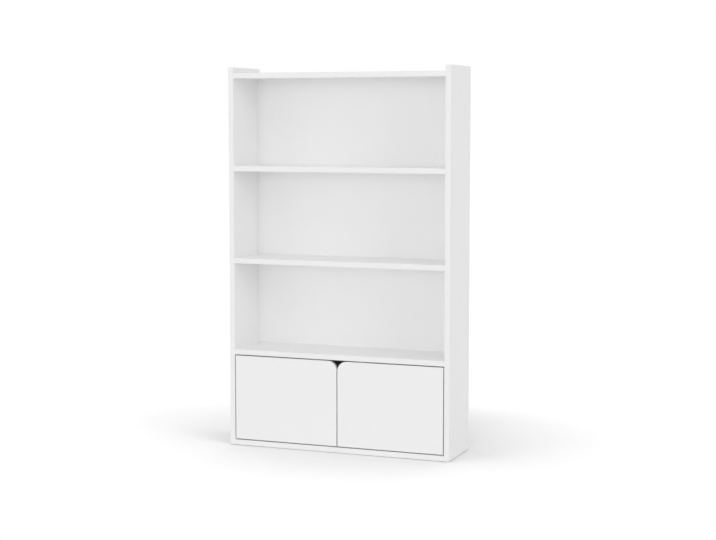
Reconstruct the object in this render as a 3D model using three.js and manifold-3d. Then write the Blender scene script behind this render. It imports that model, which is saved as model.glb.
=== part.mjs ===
// A white bookcase with three open bays over a cupboard with two inset doors.
// Millimetres, +Z up. The front is at -Y, and the origin is on the floor under the middle.
import * as THREE from "three";
import { mergeVertices } from "three/addons/utils/BufferGeometryUtils.js";
import Module from "manifold-3d";

const wasm = await Module();
wasm.setup();

// The case
const WIDTH = 1100;
const DEPTH = 300;
const HEIGHT = 1800;
const BOARD = 25;
const PANEL_RISE = 27; // how far the side panels stand above the top board
const FLOOR_GAP = 2; // the boards' height above the floor, on the glides
const BAYS = 4;

// The back panel, which sits in grooves
const BACK = 4;
const BACK_INSET = 17.5; // from the boards' rear edges to its rear face
const GROOVE = 8;

// The doors
const DOOR = 18;
const DOOR_GAP = 5;
const NOTCH_RADIUS = 45; // the rounded top corner beside the middle gap

// Fits
const SEAT_GAP = 0.3;
const RUN_GAP = 0.1;
const OVERRUN = 1; // how far a cutting tool runs past a face

// The cam fittings, which pull each board's ends against the side panels
const CAM_RADIUS = 7.5;
const CAM_SETBACK = 34; // from the board's end to the cam's centre
const CAM_PAST_BOLT = 5.5; // how far the cam reaches past the bolt's axis
const BOLT_RADIUS = 3;
const BOLT_BITE = 11; // how far the bolt is screwed into the side panel
const FITTING_INSET = 50; // from the board's front edge, and from the back panel

// The concealed hinges
const HINGE_INSET = 80; // from the door's top and bottom edges
const CUP_RADIUS = 17.5;
const CUP_COVER = 5.2; // door left in front of the cup
const SHEET = 0.8; // the cup's pressed steel
const FLANGE_RADIUS = 19;
const EAR_WIDTH = 16;
const EAR_LENGTH = 56;
const EAR_OFFSET = 9.5; // from the cup's centre, away from the door's edge
const DOWEL_SPACING = 45;
const DOWEL_RADIUS = 4;
const DOWEL_LENGTH = 8;
const PIN_RADIUS = 1.25;
const PIN_DEPTH = 9.5; // the pin's axis behind the door's front face
const PIN_OFFSET = 8; // from the cup's centre, towards the door's edge
const SWING_GAP = 2; // what the door's corner keeps to the side panel
const HUB_RADIUS = 3;
const ARM_WIDTH = 14;
const ARM_SHEET = 2.5;
const ARM_SWING_GAP = 1.5; // what the arm keeps to the turning door
const ARM_REACH = 12; // from the pin's axis to the arm's neck
const ARM_OVERHANG = 6; // past the mounting plate

// The mounting plates and their screws
const SYSTEM_INSET = 37; // from the door's back to the screws
const SCREW_SPACING = 32;
const SCREW_RADIUS = 2;
const SCREW_BITE = 12;
const HEAD_RADIUS = 3.8;
const HEAD_HEIGHT = 1.8;
const RIB_HEIGHT = 8;
const RIB_LENGTH = 40;
const WING_HEIGHT = 3;
const WING_WIDTH = 16;
const WING_LENGTH = 52;

// The door stops under the cupboard's top
const STOP_WIDTH = 22;
const STOP_DEPTH = 14;
const STOP_HEIGHT = 10;
const STOP_PLACE = 120; // from the middle

// The glides under the side panels
const GLIDE_RADIUS = 10;
const GLIDE_INSET = 30; // from the front and rear edges
const NAIL_RADIUS = 1.5;
const NAIL_LENGTH = 12;

// How many sides the round shapes have
const CUP_SIDES = 24;
const NOTCH_STEPS = 12;
const CAM_SIDES = 12;
const BOLT_SIDES = 8;
const PIN_SIDES = 12;
const SCREW_SIDES = 8;
const GLIDE_SIDES = 16;

// Worked out from those
const INNER = WIDTH / 2 - BOARD; // half the clear width
const BACK_FRONT = DEPTH - BACK_INSET - BACK; // the shelves' depth
const BAY = (HEIGHT - FLOOR_GAP - PANEL_RISE - (BAYS + 1) * BOARD) / BAYS;
const DOOR_WIDTH = (2 * INNER - 3 * DOOR_GAP) / 2;
const DOOR_HEIGHT = BAY - 2 * DOOR_GAP;
const DOOR_BOTTOM = FLOOR_GAP + BOARD + DOOR_GAP;
const DOOR_TOP = DOOR_BOTTOM + DOOR_HEIGHT;
const CAM_DEPTH = BOARD / 2 + CAM_PAST_BOLT;
const CUP_BORE = CUP_RADIUS - SHEET;

// The pin lies so far from the door's edge that the front corner swings past the side panel.
const SWING_ROOM = DOOR_GAP - SWING_GAP;
const PIN_SETBACK = (PIN_DEPTH ** 2 - SWING_ROOM ** 2) / (2 * SWING_ROOM);
const PIN_PLACE = INNER - DOOR_GAP - PIN_SETBACK; // from the middle of the bookcase
const CUP_PLACE = PIN_PLACE - PIN_OFFSET;
const EDGE_REACH = Math.hypot(PIN_SETBACK, Math.max(PIN_DEPTH, DOOR - PIN_DEPTH));
const ARM_TURN = EDGE_REACH + ARM_SWING_GAP; // from the pin to the arm's crossing
const SCREW_PLACE = DOOR + SYSTEM_INSET;

const melamine = { color: 0xf2f2f2, roughness: 0.45, metalness: 0 };
const backing = { color: 0xf0f0f0, roughness: 0.55, metalness: 0 };
const nickel = { color: 0xc9c7c2, roughness: 0.3, metalness: 1 };
const zinc = { color: 0xb4b5b6, roughness: 0.45, metalness: 1 };
const whitePlastic = { color: 0xe9e9e7, roughness: 0.5, metalness: 0 };
const greyPlastic = { color: 0x8d8e90, roughness: 0.6, metalness: 0 };

const bookcase = new THREE.Group();
bookcase.position.y = -DEPTH / 2;

function addPiece(name, finish, geometry) {
  const mesh = new THREE.Mesh(geometry, new THREE.MeshStandardMaterial(finish));
  mesh.name = name;
  bookcase.add(mesh);
}

function solidOf(geometry) {
  const bare = geometry.clone();
  bare.deleteAttribute("normal");
  bare.deleteAttribute("uv");
  const merged = mergeVertices(bare);
  return new wasm.Manifold(new wasm.Mesh({
    numProp: 3,
    vertProperties: new Float32Array(merged.attributes.position.array),
    triVerts: new Uint32Array(merged.index.array),
  }));
}

function geometryOf(solid) {
  const mesh = solid.getMesh();
  const geometry = new THREE.BufferGeometry();
  geometry.setAttribute("position", new THREE.BufferAttribute(mesh.vertProperties, 3));
  geometry.setIndex(new THREE.BufferAttribute(mesh.triVerts, 1));
  return geometry;
}

// Joins the first shape with the others.
function join(first, ...others) {
  let solid = solidOf(first);
  for (const other of others) solid = solid.add(solidOf(other));
  return geometryOf(solid);
}

// Cuts the others out of the first shape.
function cut(first, others) {
  let solid = solidOf(first);
  for (const other of others) solid = solid.subtract(solidOf(other));
  return geometryOf(solid);
}

// A box between two corners.
function block(low, high) {
  const size = high.map((value, axis) => value - low[axis]);
  const middle = high.map((value, axis) => (value + low[axis]) / 2);
  return new THREE.BoxGeometry(...size).translate(...middle);
}

// Round bars along X, Y and Z: from one end to the other on that axis, at a place on the other two.
function barX(radius, from, to, y, z, sides) {
  const bar = new THREE.CylinderGeometry(radius, radius, Math.abs(to - from), sides);
  return bar.rotateZ(Math.PI / 2).translate((from + to) / 2, y, z);
}

function barY(radius, from, to, x, z, sides) {
  const bar = new THREE.CylinderGeometry(radius, radius, Math.abs(to - from), sides);
  return bar.translate(x, (from + to) / 2, z);
}

function barZ(radius, from, to, x, y, sides) {
  const bar = new THREE.CylinderGeometry(radius, radius, Math.abs(to - from), sides);
  return bar.rotateX(Math.PI / 2).translate(x, y, (from + to) / 2);
}

// The points of an arc about a centre.
function arc(x, y, radius, from, to, steps) {
  const points = [];
  for (let i = 0; i <= steps; i += 1) {
    const angle = from + ((to - from) * i) / steps;
    points.push(new THREE.Vector2(x + radius * Math.cos(angle), y + radius * Math.sin(angle)));
  }
  return points;
}

// The names of the boards from the floor up, and how high each one's underside is.
const boards = ["bottom_board", "cabinet_top_board", "lower_shelf", "upper_shelf", "top_board"];
const underside = (level) => FLOOR_GAP + level * (BOARD + BAY);
const sides = { left: -1, right: 1 };
const rows = { front: FITTING_INSET, rear: BACK_FRONT - FITTING_INSET };

// A cam fitting at one end of a board: the cam in the board's underside, and its bolt, which runs
// along the board into the side panel. With room to spare, it is the hole that the fitting needs.
function camFitting(side, y, level, room) {
  const low = underside(level);
  const centre = side * (INNER - CAM_SETBACK);
  const mouth = room > 0 ? low - OVERRUN : low;
  const cam = barZ(CAM_RADIUS + room, mouth, low + CAM_DEPTH + room, centre, y, CAM_SIDES);
  const tip = side * (INNER + BOLT_BITE + room);
  const bolt = barX(BOLT_RADIUS + room, centre, tip, y, low + BOARD / 2, BOLT_SIDES);
  return join(cam, bolt);
}

// The back panel, and the groove that the boards round it need.
function backPanel(room) {
  const half = INNER + GROOVE + room;
  const bottom = underside(0) + BOARD - GROOVE - room;
  const top = underside(BAYS) + GROOVE + room;
  return block([-half, BACK_FRONT - room, bottom], [half, BACK_FRONT + BACK + room, top]);
}

// Places that the door hinges share.
const hingeLevels = { upper: DOOR_TOP - HINGE_INSET, lower: DOOR_BOTTOM + HINGE_INSET };
const screwEnds = { top: 1, bottom: -1 };

function plateScrew(side, z, end, room) {
  const y = SCREW_PLACE;
  const seat = INNER - WING_HEIGHT;
  const height = z + (end * SCREW_SPACING) / 2;
  const tip = side * (INNER + SCREW_BITE + room);
  const shankStart = side * (seat - (room > 0 ? OVERRUN : HEAD_HEIGHT / 2));
  const shank = barX(SCREW_RADIUS + room, shankStart, tip, y, height, SCREW_SIDES);
  if (room > 0) return shank;
  const head = barX(HEAD_RADIUS, side * (seat - HEAD_HEIGHT), side * seat, y, height, PIN_SIDES);
  return join(shank, head);
}

function glide(side, y, room) {
  const x = side * (WIDTH / 2 - BOARD / 2);
  const nailTop = FLOOR_GAP + NAIL_LENGTH + room;
  const nail = barZ(NAIL_RADIUS + room, FLOOR_GAP / 2, nailTop, x, y, BOLT_SIDES);
  if (room > 0) return nail;
  return join(nail, barZ(GLIDE_RADIUS, 0, FLOOR_GAP, x, y, GLIDE_SIDES));
}

const glideRows = { front: GLIDE_INSET, rear: DEPTH - GLIDE_INSET };

// The side panels run from the glides to the full height.
for (const [sideName, side] of Object.entries(sides)) {
  const edges = [side * INNER, side * (WIDTH / 2)];
  const holes = [backPanel(SEAT_GAP)];
  for (const y of Object.values(rows)) {
    for (let level = 0; level <= BAYS; level += 1) holes.push(camFitting(side, y, level, SEAT_GAP));
  }
  for (const z of Object.values(hingeLevels)) {
    for (const end of Object.values(screwEnds)) holes.push(plateScrew(side, z, end, SEAT_GAP));
  }
  for (const y of Object.values(glideRows)) holes.push(glide(side, y, SEAT_GAP));
  const panel = block(
    [Math.min(...edges), 0, FLOOR_GAP],
    [Math.max(...edges), DEPTH, HEIGHT],
  );
  addPiece(`${sideName}_side_panel`, melamine, cut(panel, holes));
}

// The five boards between them. The top and bottom ones hold the back panel in grooves and run
// to the rear edge. The others end at the back panel's face.
boards.forEach((name, level) => {
  const outer = level === 0 || level === BAYS;
  const low = underside(level);
  const board = block([-INNER, 0, low], [INNER, outer ? DEPTH : BACK_FRONT, low + BOARD]);
  const holes = outer ? [backPanel(SEAT_GAP)] : [];
  for (const side of Object.values(sides)) {
    for (const y of Object.values(rows)) holes.push(camFitting(side, y, level, SEAT_GAP));
  }
  addPiece(name, melamine, cut(board, holes));
});

addPiece("back_panel", backing, backPanel(0));

// The cam fittings
boards.forEach((name, level) => {
  for (const [sideName, side] of Object.entries(sides)) {
    for (const [rowName, y] of Object.entries(rows)) {
      addPiece(`${name}_${sideName}_${rowName}_fitting`, zinc, camFitting(side, y, level, 0));
    }
  }
});

// A hinge's cup with its two dowels, pressed into the door's back.
function hingeCup(side, z, room) {
  const x = side * CUP_PLACE;
  const earX = side * (CUP_PLACE - EAR_OFFSET);
  const dowels = [1, -1].map((end) => {
    const height = z + (end * DOWEL_SPACING) / 2;
    const mouth = room > 0 ? DOOR + OVERRUN : DOOR + SHEET / 2;
    return barY(DOWEL_RADIUS + room, DOOR - DOWEL_LENGTH - room, mouth, earX, height, SCREW_SIDES);
  });
  if (room > 0) {
    const bore = barY(CUP_RADIUS + room, CUP_COVER - room, DOOR + OVERRUN, x, z, CUP_SIDES);
    return [bore, ...dowels];
  }
  const profile = [
    [0, CUP_COVER],
    [CUP_RADIUS, CUP_COVER],
    [CUP_RADIUS, DOOR],
    [FLANGE_RADIUS, DOOR],
    [FLANGE_RADIUS, DOOR + SHEET],
    [CUP_BORE, DOOR + SHEET],
    [CUP_BORE, CUP_COVER + SHEET],
    [0, CUP_COVER + SHEET],
  ].map(([radius, y]) => new THREE.Vector2(radius, y));
  const shell = new THREE.LatheGeometry(profile, CUP_SIDES).translate(x, 0, z);
  const ears = block(
    [earX - EAR_WIDTH / 2, DOOR, z - EAR_LENGTH / 2],
    [earX + EAR_WIDTH / 2, DOOR + SHEET, z + EAR_LENGTH / 2],
  );
  const mouth = barY(CUP_BORE, CUP_COVER + SHEET, DOOR + OVERRUN, x, z, CUP_SIDES);
  const pinHole = barZ(
    PIN_RADIUS + SEAT_GAP, z - CUP_RADIUS, z + CUP_RADIUS, side * PIN_PLACE, PIN_DEPTH, PIN_SIDES,
  );
  return cut(join(shell, ears, ...dowels), [mouth, pinHole]);
}

// The pin's ends lie in the middle of the cup's wall.
function hingePin(side, z) {
  const chord = (radius) => Math.sqrt(radius ** 2 - PIN_OFFSET ** 2);
  const half = (chord(CUP_RADIUS) + chord(CUP_BORE)) / 2;
  return barZ(PIN_RADIUS, z - half, z + half, side * PIN_PLACE, PIN_DEPTH, PIN_SIDES);
}

// The arm's outline from above, about the pin: a hub, a neck that the turning door's edge passes
// inside, and a strip along the side panel. Away from the side panel is positive.
function hingeArm(side, z) {
  const stripLow = RIB_HEIGHT - (INNER - PIN_PLACE);
  const stripHigh = stripLow + ARM_SHEET;
  const end = SCREW_PLACE + RIB_LENGTH / 2 + ARM_OVERHANG - PIN_DEPTH;
  const half = ARM_SHEET / 2;
  const neckTurn = Math.asin(half / HUB_RADIUS); // where the neck's faces leave the hub
  const outline = [
    ...arc(0, 0, HUB_RADIUS, neckTurn, 2 * Math.PI - neckTurn, PIN_SIDES),
    new THREE.Vector2(ARM_REACH + ARM_SHEET, -half),
    new THREE.Vector2(ARM_REACH + ARM_SHEET, ARM_TURN + ARM_SHEET),
    new THREE.Vector2(stripHigh, ARM_TURN + ARM_SHEET),
    new THREE.Vector2(stripHigh, end),
    new THREE.Vector2(stripLow, end),
    new THREE.Vector2(stripLow, ARM_TURN),
    new THREE.Vector2(ARM_REACH, ARM_TURN),
    new THREE.Vector2(ARM_REACH, half),
  ];
  const place = (point) => new THREE.Vector2(
    side * (PIN_PLACE - point.x), PIN_DEPTH + point.y,
  );
  const arm = new THREE.ExtrudeGeometry(new THREE.Shape(outline.map(place)), {
    depth: ARM_WIDTH,
    bevelEnabled: false,
  }).translate(0, 0, z - ARM_WIDTH / 2);
  const eye = barZ(
    PIN_RADIUS + RUN_GAP, z - ARM_WIDTH, z + ARM_WIDTH, side * PIN_PLACE, PIN_DEPTH, PIN_SIDES,
  );
  return cut(arm, [eye]);
}

// The mounting plate: two wings for the screws, and a rib that carries the arm.
function hingePlate(side, z) {
  const slab = (height, length, width) => {
    const faces = [side * INNER, side * (INNER - height)];
    return block(
      [Math.min(...faces), SCREW_PLACE - width / 2, z - length / 2],
      [Math.max(...faces), SCREW_PLACE + width / 2, z + length / 2],
    );
  };
  const wings = slab(WING_HEIGHT, WING_LENGTH, WING_WIDTH);
  const rib = slab(RIB_HEIGHT, ARM_WIDTH, RIB_LENGTH);
  const holes = Object.values(screwEnds).map((end) => plateScrew(side, z, end, SEAT_GAP));
  return cut(join(wings, rib), holes);
}

for (const [sideName, side] of Object.entries(sides)) {
  // The door's outline from the front: square but for the rounded top corner at the middle.
  const free = side * (DOOR_GAP / 2);
  const hung = side * (DOOR_GAP / 2 + DOOR_WIDTH);
  const turn = arc(0, 0, NOTCH_RADIUS, 0, Math.PI / 2, NOTCH_STEPS).map((point) => (
    new THREE.Vector2(
      side * (DOOR_GAP / 2 + NOTCH_RADIUS - point.x), DOOR_TOP - NOTCH_RADIUS + point.y,
    )
  ));
  const outline = new THREE.Shape([
    new THREE.Vector2(hung, DOOR_TOP),
    new THREE.Vector2(hung, DOOR_BOTTOM),
    new THREE.Vector2(free, DOOR_BOTTOM),
    ...turn,
  ]);
  const slab = new THREE.ExtrudeGeometry(outline, { depth: DOOR, bevelEnabled: false })
    .rotateX(Math.PI / 2).translate(0, DOOR, 0);
  const bores = Object.values(hingeLevels).flatMap((z) => hingeCup(side, z, SEAT_GAP));
  addPiece(`${sideName}_door`, melamine, cut(slab, bores));

  for (const [levelName, z] of Object.entries(hingeLevels)) {
    const hinge = `${sideName}_${levelName}_hinge`;
    addPiece(`${hinge}_cup`, nickel, hingeCup(side, z, 0));
    addPiece(`${hinge}_pin`, nickel, hingePin(side, z));
    addPiece(`${hinge}_arm`, nickel, hingeArm(side, z));
    addPiece(`${hinge}_plate`, nickel, hingePlate(side, z));
    for (const [endName, end] of Object.entries(screwEnds)) {
      addPiece(`${hinge}_${endName}_screw`, nickel, plateScrew(side, z, end, 0));
    }
  }

  // The stop that the closed door meets, under the cupboard's top board.
  const stopTop = underside(1);
  addPiece(`${sideName}_door_stop`, whitePlastic, block(
    [side * STOP_PLACE - STOP_WIDTH / 2, DOOR + SEAT_GAP, stopTop - STOP_HEIGHT],
    [side * STOP_PLACE + STOP_WIDTH / 2, DOOR + SEAT_GAP + STOP_DEPTH, stopTop],
  ));

  for (const [rowName, y] of Object.entries(glideRows)) {
    addPiece(`${sideName}_${rowName}_glide`, greyPlastic, glide(side, y, 0));
  }
}

export default bookcase;
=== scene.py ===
# A white bookcase with three open bays over a cupboard with two inset doors, dressed round its
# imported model. Metres, +Z up, the front at -Y.
import math

import bmesh
import bpy
from bmesh.types import BMEdge, BMFace, BMVert
from mathutils import Matrix, Vector


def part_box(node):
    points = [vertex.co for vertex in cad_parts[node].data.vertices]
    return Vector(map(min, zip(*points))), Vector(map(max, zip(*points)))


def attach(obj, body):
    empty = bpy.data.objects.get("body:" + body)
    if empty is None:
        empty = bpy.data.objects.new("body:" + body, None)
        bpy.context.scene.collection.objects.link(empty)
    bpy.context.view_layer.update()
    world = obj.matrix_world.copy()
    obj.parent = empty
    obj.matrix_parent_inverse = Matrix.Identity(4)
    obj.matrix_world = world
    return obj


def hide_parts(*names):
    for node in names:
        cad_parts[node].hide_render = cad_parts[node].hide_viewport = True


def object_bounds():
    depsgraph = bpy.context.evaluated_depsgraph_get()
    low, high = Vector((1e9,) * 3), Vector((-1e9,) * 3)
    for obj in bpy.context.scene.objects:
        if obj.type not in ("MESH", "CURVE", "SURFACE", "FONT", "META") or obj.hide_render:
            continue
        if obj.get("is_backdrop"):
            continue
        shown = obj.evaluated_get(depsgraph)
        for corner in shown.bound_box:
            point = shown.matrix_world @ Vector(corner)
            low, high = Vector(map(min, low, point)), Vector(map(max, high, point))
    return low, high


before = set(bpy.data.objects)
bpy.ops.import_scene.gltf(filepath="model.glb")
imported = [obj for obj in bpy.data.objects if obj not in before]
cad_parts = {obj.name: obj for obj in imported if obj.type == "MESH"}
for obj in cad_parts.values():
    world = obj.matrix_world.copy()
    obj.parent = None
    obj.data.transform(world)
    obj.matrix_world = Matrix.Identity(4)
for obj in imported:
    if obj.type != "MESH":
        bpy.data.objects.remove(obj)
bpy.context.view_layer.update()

scene = bpy.context.scene


# The camera
# It stands to the right of the bookcase's middle at eye height and looks a little down. A long
# lens keeps the sides nearly upright, as in the photograph.
CAMERA_PLACE = (2.6927, -6.8313, 1.5551)
CAMERA_TURN = 0.3694  # radians to the left of straight ahead
CAMERA_PITCH = 0.0869  # radians below level
CAMERA_LENS = 78.55  # millimetres
CAMERA_SENSOR = 36.0  # its width, in millimetres
CAMERA_SHIFT = -0.02  # a share of the picture's width

camera = bpy.data.objects.new("camera", bpy.data.cameras.new("camera"))
scene.collection.objects.link(camera)
camera.location = CAMERA_PLACE
camera.rotation_euler = (math.pi / 2 - CAMERA_PITCH, 0, CAMERA_TURN)
camera.data.sensor_width = CAMERA_SENSOR
camera.data.lens = CAMERA_LENS
camera.data.shift_y = CAMERA_SHIFT
scene.camera = camera
scene.view_settings.view_transform = "Standard"


# The studio
# A matt white floor that runs out to a white background, under an even sky of white cloth. The
# background shows as pure white. The bookcase's soft shadow on the floor is partly real, in its
# paint, and partly painted, where the floor's glow for the eye is dimmed round the bookcase.
SKY = 0.53  # how brightly the cloth lights the bookcase, where 1 renders a colour as written
FLOOR_WHITE = "F8F8F8"
FLOOR_LIFT = 0.3  # what the lit background adds to the open floor, for the eye alone
FLOOR_REACH = 60.0  # from the middle to each edge
SHADOW_REACH = 1.15  # how far round the bookcase the painted shadow dims the floor's glow
SHADOW_DEPTH = 8.5  # the power to which the unshaded share is raised
SHADOW_LEAN = math.radians(22)  # how far the occlusion that paints that shadow leans to the front


def linear(code):
    """The linear colour of an sRGB hex value."""
    shares = [int(code[i:i + 2], 16) / 255 for i in (0, 2, 4)]
    bright = [s / 12.92 if s <= 0.04045 else ((s + 0.055) / 1.055) ** 2.4 for s in shares]
    return (*bright, 1.0)


def add_node(tree, kind, inputs, **settings):
    """Adds a node. An input is a value, or another node's output, which is then linked."""
    node = tree.nodes.new(kind)
    for name, value in settings.items():
        setattr(node, name, value)
    for name, value in inputs.items():
        if isinstance(value, bpy.types.NodeSocket):
            tree.links.new(value, node.inputs[name])
        else:
            node.inputs[name].default_value = value
    return node


def seen_directly(tree):
    """1 where the eye, a gloss or a glass sees the background, and 0 where it only gives light."""
    path = add_node(tree, "ShaderNodeLightPath", {})
    eye_or_gloss = add_node(tree, "ShaderNodeMath", {
        0: path.outputs["Is Camera Ray"], 1: path.outputs["Is Glossy Ray"],
    }, operation="MAXIMUM")
    return add_node(tree, "ShaderNodeMath", {
        0: eye_or_gloss.outputs[0], 1: path.outputs["Is Transmission Ray"],
    }, operation="MAXIMUM").outputs[0]


world = bpy.data.worlds.new("white_cloth_sky")
world.use_nodes = True
scene.world = world
tree = world.node_tree
tree.nodes.clear()
cloth = add_node(tree, "ShaderNodeBackground", {"Color": linear("FFFFFF"), "Strength": SKY})
white = add_node(tree, "ShaderNodeBackground", {"Color": linear("FFFFFF"), "Strength": 1.0})
sky = add_node(tree, "ShaderNodeMixShader", {
    0: seen_directly(tree), 1: cloth.outputs[0], 2: white.outputs[0],
})
add_node(tree, "ShaderNodeOutputWorld", {"Surface": sky.outputs[0]})

floor_paint = bpy.data.materials.new("matt_white_studio_floor")
floor_paint.use_nodes = True
tree = floor_paint.node_tree
tree.nodes.clear()
paint = add_node(tree, "ShaderNodeBsdfDiffuse", {"Color": linear(FLOOR_WHITE)})
lean = add_node(tree, "ShaderNodeCombineXYZ", {
    "Y": -math.sin(SHADOW_LEAN), "Z": math.cos(SHADOW_LEAN),
})
# Painted shadow: the floor's glow for the eye is dimmed round the bookcase by the share of nearby
# directions left open, raised to a power.
open_share = add_node(tree, "ShaderNodeAmbientOcclusion", {
    "Distance": SHADOW_REACH, "Normal": lean.outputs["Vector"],
}, samples=4)
painted_shadow = add_node(tree, "ShaderNodeMath", {0: open_share.outputs["AO"], 1: SHADOW_DEPTH},
                 operation="POWER")
dimmed = add_node(tree, "ShaderNodeMath", {0: painted_shadow.outputs[0], 1: FLOOR_LIFT},
                  operation="MULTIPLY")
lift = add_node(tree, "ShaderNodeMath", {0: seen_directly(tree), 1: dimmed.outputs[0]},
                operation="MULTIPLY")
glow = add_node(tree, "ShaderNodeEmission", {
    "Color": linear("FFFFFF"), "Strength": lift.outputs[0],
})
both = add_node(tree, "ShaderNodeAddShader", {0: paint.outputs[0], 1: glow.outputs[0]})
add_node(tree, "ShaderNodeOutputMaterial", {"Surface": both.outputs[0]})

bm = bmesh.new()
bmesh.ops.create_grid(bm, x_segments=1, y_segments=1, size=FLOOR_REACH)
floor_mesh = bpy.data.meshes.new("studio_floor")
bm.to_mesh(floor_mesh)
bm.free()
floor_mesh.materials.append(floor_paint)
floor = bpy.data.objects.new("studio_floor", floor_mesh)
scene.collection.objects.link(floor)
floor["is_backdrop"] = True


# The lamps
# Large soft lamps, so far off that each lights every place alike. Each is given by how brightly
# it lights a face turned to it, and in degrees its turn from straight ahead, its height and how
# wide it looks. Gloss shows the white surroundings in their place, so that nothing glares.
BOUNCES = 6  # how many times light passes from board to board, deep into the white bays
LAMPS = {
    "front_lamp": (0.19, 0, 0, 30),
    "high_front_lamp": (0.11, 0, 55, 40),
    "right_lamp": (0.16, 65, 15, 30),
    "left_lamp": (0.085, -40, 8, 30),
    "top_lamp": (0.08, 0, 90, 70),
    "rear_lamp": (0.25, 180, 8, 40),
}
for name, (level, azimuth, elevation, spread) in LAMPS.items():
    lamp = bpy.data.objects.new(name, bpy.data.lights.new(name, "SUN"))
    scene.collection.objects.link(lamp)
    lamp.data.energy = level * math.pi
    lamp.data.angle = math.radians(spread)
    lamp.visible_glossy = False
    lamp.rotation_euler = (math.pi / 2 - math.radians(elevation), 0, math.radians(azimuth))
scene.cycles.diffuse_bounces = BOUNCES


# The side panels
# Two tall panels of 25 mm particle board, faced with white melamine on both sides. Their front,
# top and rear edges have a 1 mm band glued on, and the sawn lower edge stays bare.
MM = 0.001
WELD = 0.01 * MM  # points that lie nearer than this are one
TOUCH = 0.02 * MM  # a point this near a side lies on it
FLAT = math.radians(1)  # faces that meet at less lie in one plane
SQUARE = 0.99999  # the least share of a normal along an axis, for a face square to it
BAND = 1.0 * MM
ARRIS = 0.8 * MM  # the radius to which a banded edge is scraped
ARRIS_STEPS = 3
SAWN = 0.2 * MM  # what a saw leaves of a bare edge

# Melamine is a white paper soaked in resin, pressed onto the board between steel plates with a
# fine pearl grain. It gives an even neutral white with a broad satin sheen.
MELAMINE_IOR = 1.55
MELAMINE_ROUGHNESS = (0.42, 0.52)
PEARL = 1.2 * MM
PEARL_HEIGHT = 0.02 * MM
CLOUD = 180 * MM  # the width of the faint clouds in its tone and gloss

melamine = bpy.data.materials.new("melamine_pearl_pressed")
melamine.use_nodes = True
tree = melamine.node_tree
surface = tree.nodes["Principled BSDF"]
surface.inputs["IOR"].default_value = MELAMINE_IOR
place = add_node(tree, "ShaderNodeTexCoord", {}).outputs["Object"]
pearl = add_node(tree, "ShaderNodeTexNoise", {
    "Vector": place, "Scale": 1 / PEARL, "Detail": 1.0,
})
cloud = add_node(tree, "ShaderNodeTexNoise", {
    "Vector": place, "Scale": 1 / CLOUD, "Detail": 3.0,
})
tone = add_node(tree, "ShaderNodeMix", {
    0: cloud.outputs["Fac"], 6: linear("F5F5F5"), 7: linear("F2F2F2"),
}, data_type="RGBA")
sheen = add_node(tree, "ShaderNodeMapRange", {
    "Value": cloud.outputs["Fac"], "To Min": MELAMINE_ROUGHNESS[0],
    "To Max": MELAMINE_ROUGHNESS[1],
})
relief = add_node(tree, "ShaderNodeBump", {
    "Strength": 1.0, "Distance": PEARL_HEIGHT, "Height": pearl.outputs["Fac"],
})
tree.links.new(tone.outputs[2], surface.inputs["Base Color"])
tree.links.new(sheen.outputs["Result"], surface.inputs["Roughness"])
tree.links.new(relief.outputs["Normal"], surface.inputs["Normal"])

# The band is ABS, extruded as a strip, glued on hot and scraped flush. It is a little smoother
# and glossier than the faces, with faint lines along it.
ABS_IOR = 1.53
BAND_ROUGHNESS = (0.34, 0.42)
BAND_LINES = 0.8 * MM

band = bpy.data.materials.new("abs_edge_band_extruded")
band.use_nodes = True
tree = band.node_tree
surface = tree.nodes["Principled BSDF"]
surface.inputs["Base Color"].default_value = linear("F3F3F3")
surface.inputs["IOR"].default_value = ABS_IOR
place = add_node(tree, "ShaderNodeTexCoord", {}).outputs["Object"]
lines = add_node(tree, "ShaderNodeTexNoise", {
    "Vector": place, "Scale": 1 / BAND_LINES, "Detail": 2.0,
})
sheen = add_node(tree, "ShaderNodeMapRange", {
    "Value": lines.outputs["Fac"], "To Min": BAND_ROUGHNESS[0], "To Max": BAND_ROUGHNESS[1],
})
tree.links.new(sheen.outputs["Result"], surface.inputs["Roughness"])

# The bare core is pressed wood particles in resin: tan flakes a few millimetres across, dull.
CORE_ROUGHNESS = 0.9
FLAKE = 2.5 * MM
DUST = FLAKE / 3
DUST_HEIGHT = 0.1 * MM

core = bpy.data.materials.new("particle_board_sawn")
core.use_nodes = True
tree = core.node_tree
surface = tree.nodes["Principled BSDF"]
surface.inputs["Roughness"].default_value = CORE_ROUGHNESS
place = add_node(tree, "ShaderNodeTexCoord", {}).outputs["Object"]
flakes = add_node(tree, "ShaderNodeTexVoronoi", {"Vector": place, "Scale": 1 / FLAKE})
dust = add_node(tree, "ShaderNodeTexNoise", {
    "Vector": place, "Scale": 1 / DUST, "Detail": 3.0,
})
tone = add_node(tree, "ShaderNodeMix", {
    0: flakes.outputs["Color"], 6: linear("A98A62"), 7: linear("D9C19A"),
}, data_type="RGBA")
relief = add_node(tree, "ShaderNodeBump", {
    "Strength": 0.6, "Distance": DUST_HEIGHT, "Height": dust.outputs["Fac"],
})
tree.links.new(tone.outputs[2], surface.inputs["Base Color"])
tree.links.new(relief.outputs["Normal"], surface.inputs["Normal"])


def add_piece(name, bm, *finishes):
    """Makes the shape an object. Flat faces square to an axis stay flat, and the rest is smooth."""
    for face in bm.faces:
        face.smooth = max(abs(share) for share in face.normal) < SQUARE
    mesh = bpy.data.meshes.new(name)
    bm.to_mesh(mesh)
    bm.free()
    for finish in finishes:
        mesh.materials.append(finish)
    piece = bpy.data.objects.new(name, mesh)
    scene.collection.objects.link(piece)
    return piece


def plain_solid(node):
    """A copy of a node's plain solid, its triangles joined to whole flat faces."""
    bm = bmesh.new()
    bm.from_mesh(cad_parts[node].data)
    bmesh.ops.remove_doubles(bm, verts=bm.verts, dist=WELD)
    bmesh.ops.dissolve_limit(bm, angle_limit=FLAT, verts=bm.verts, edges=bm.edges)
    return bm


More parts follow.
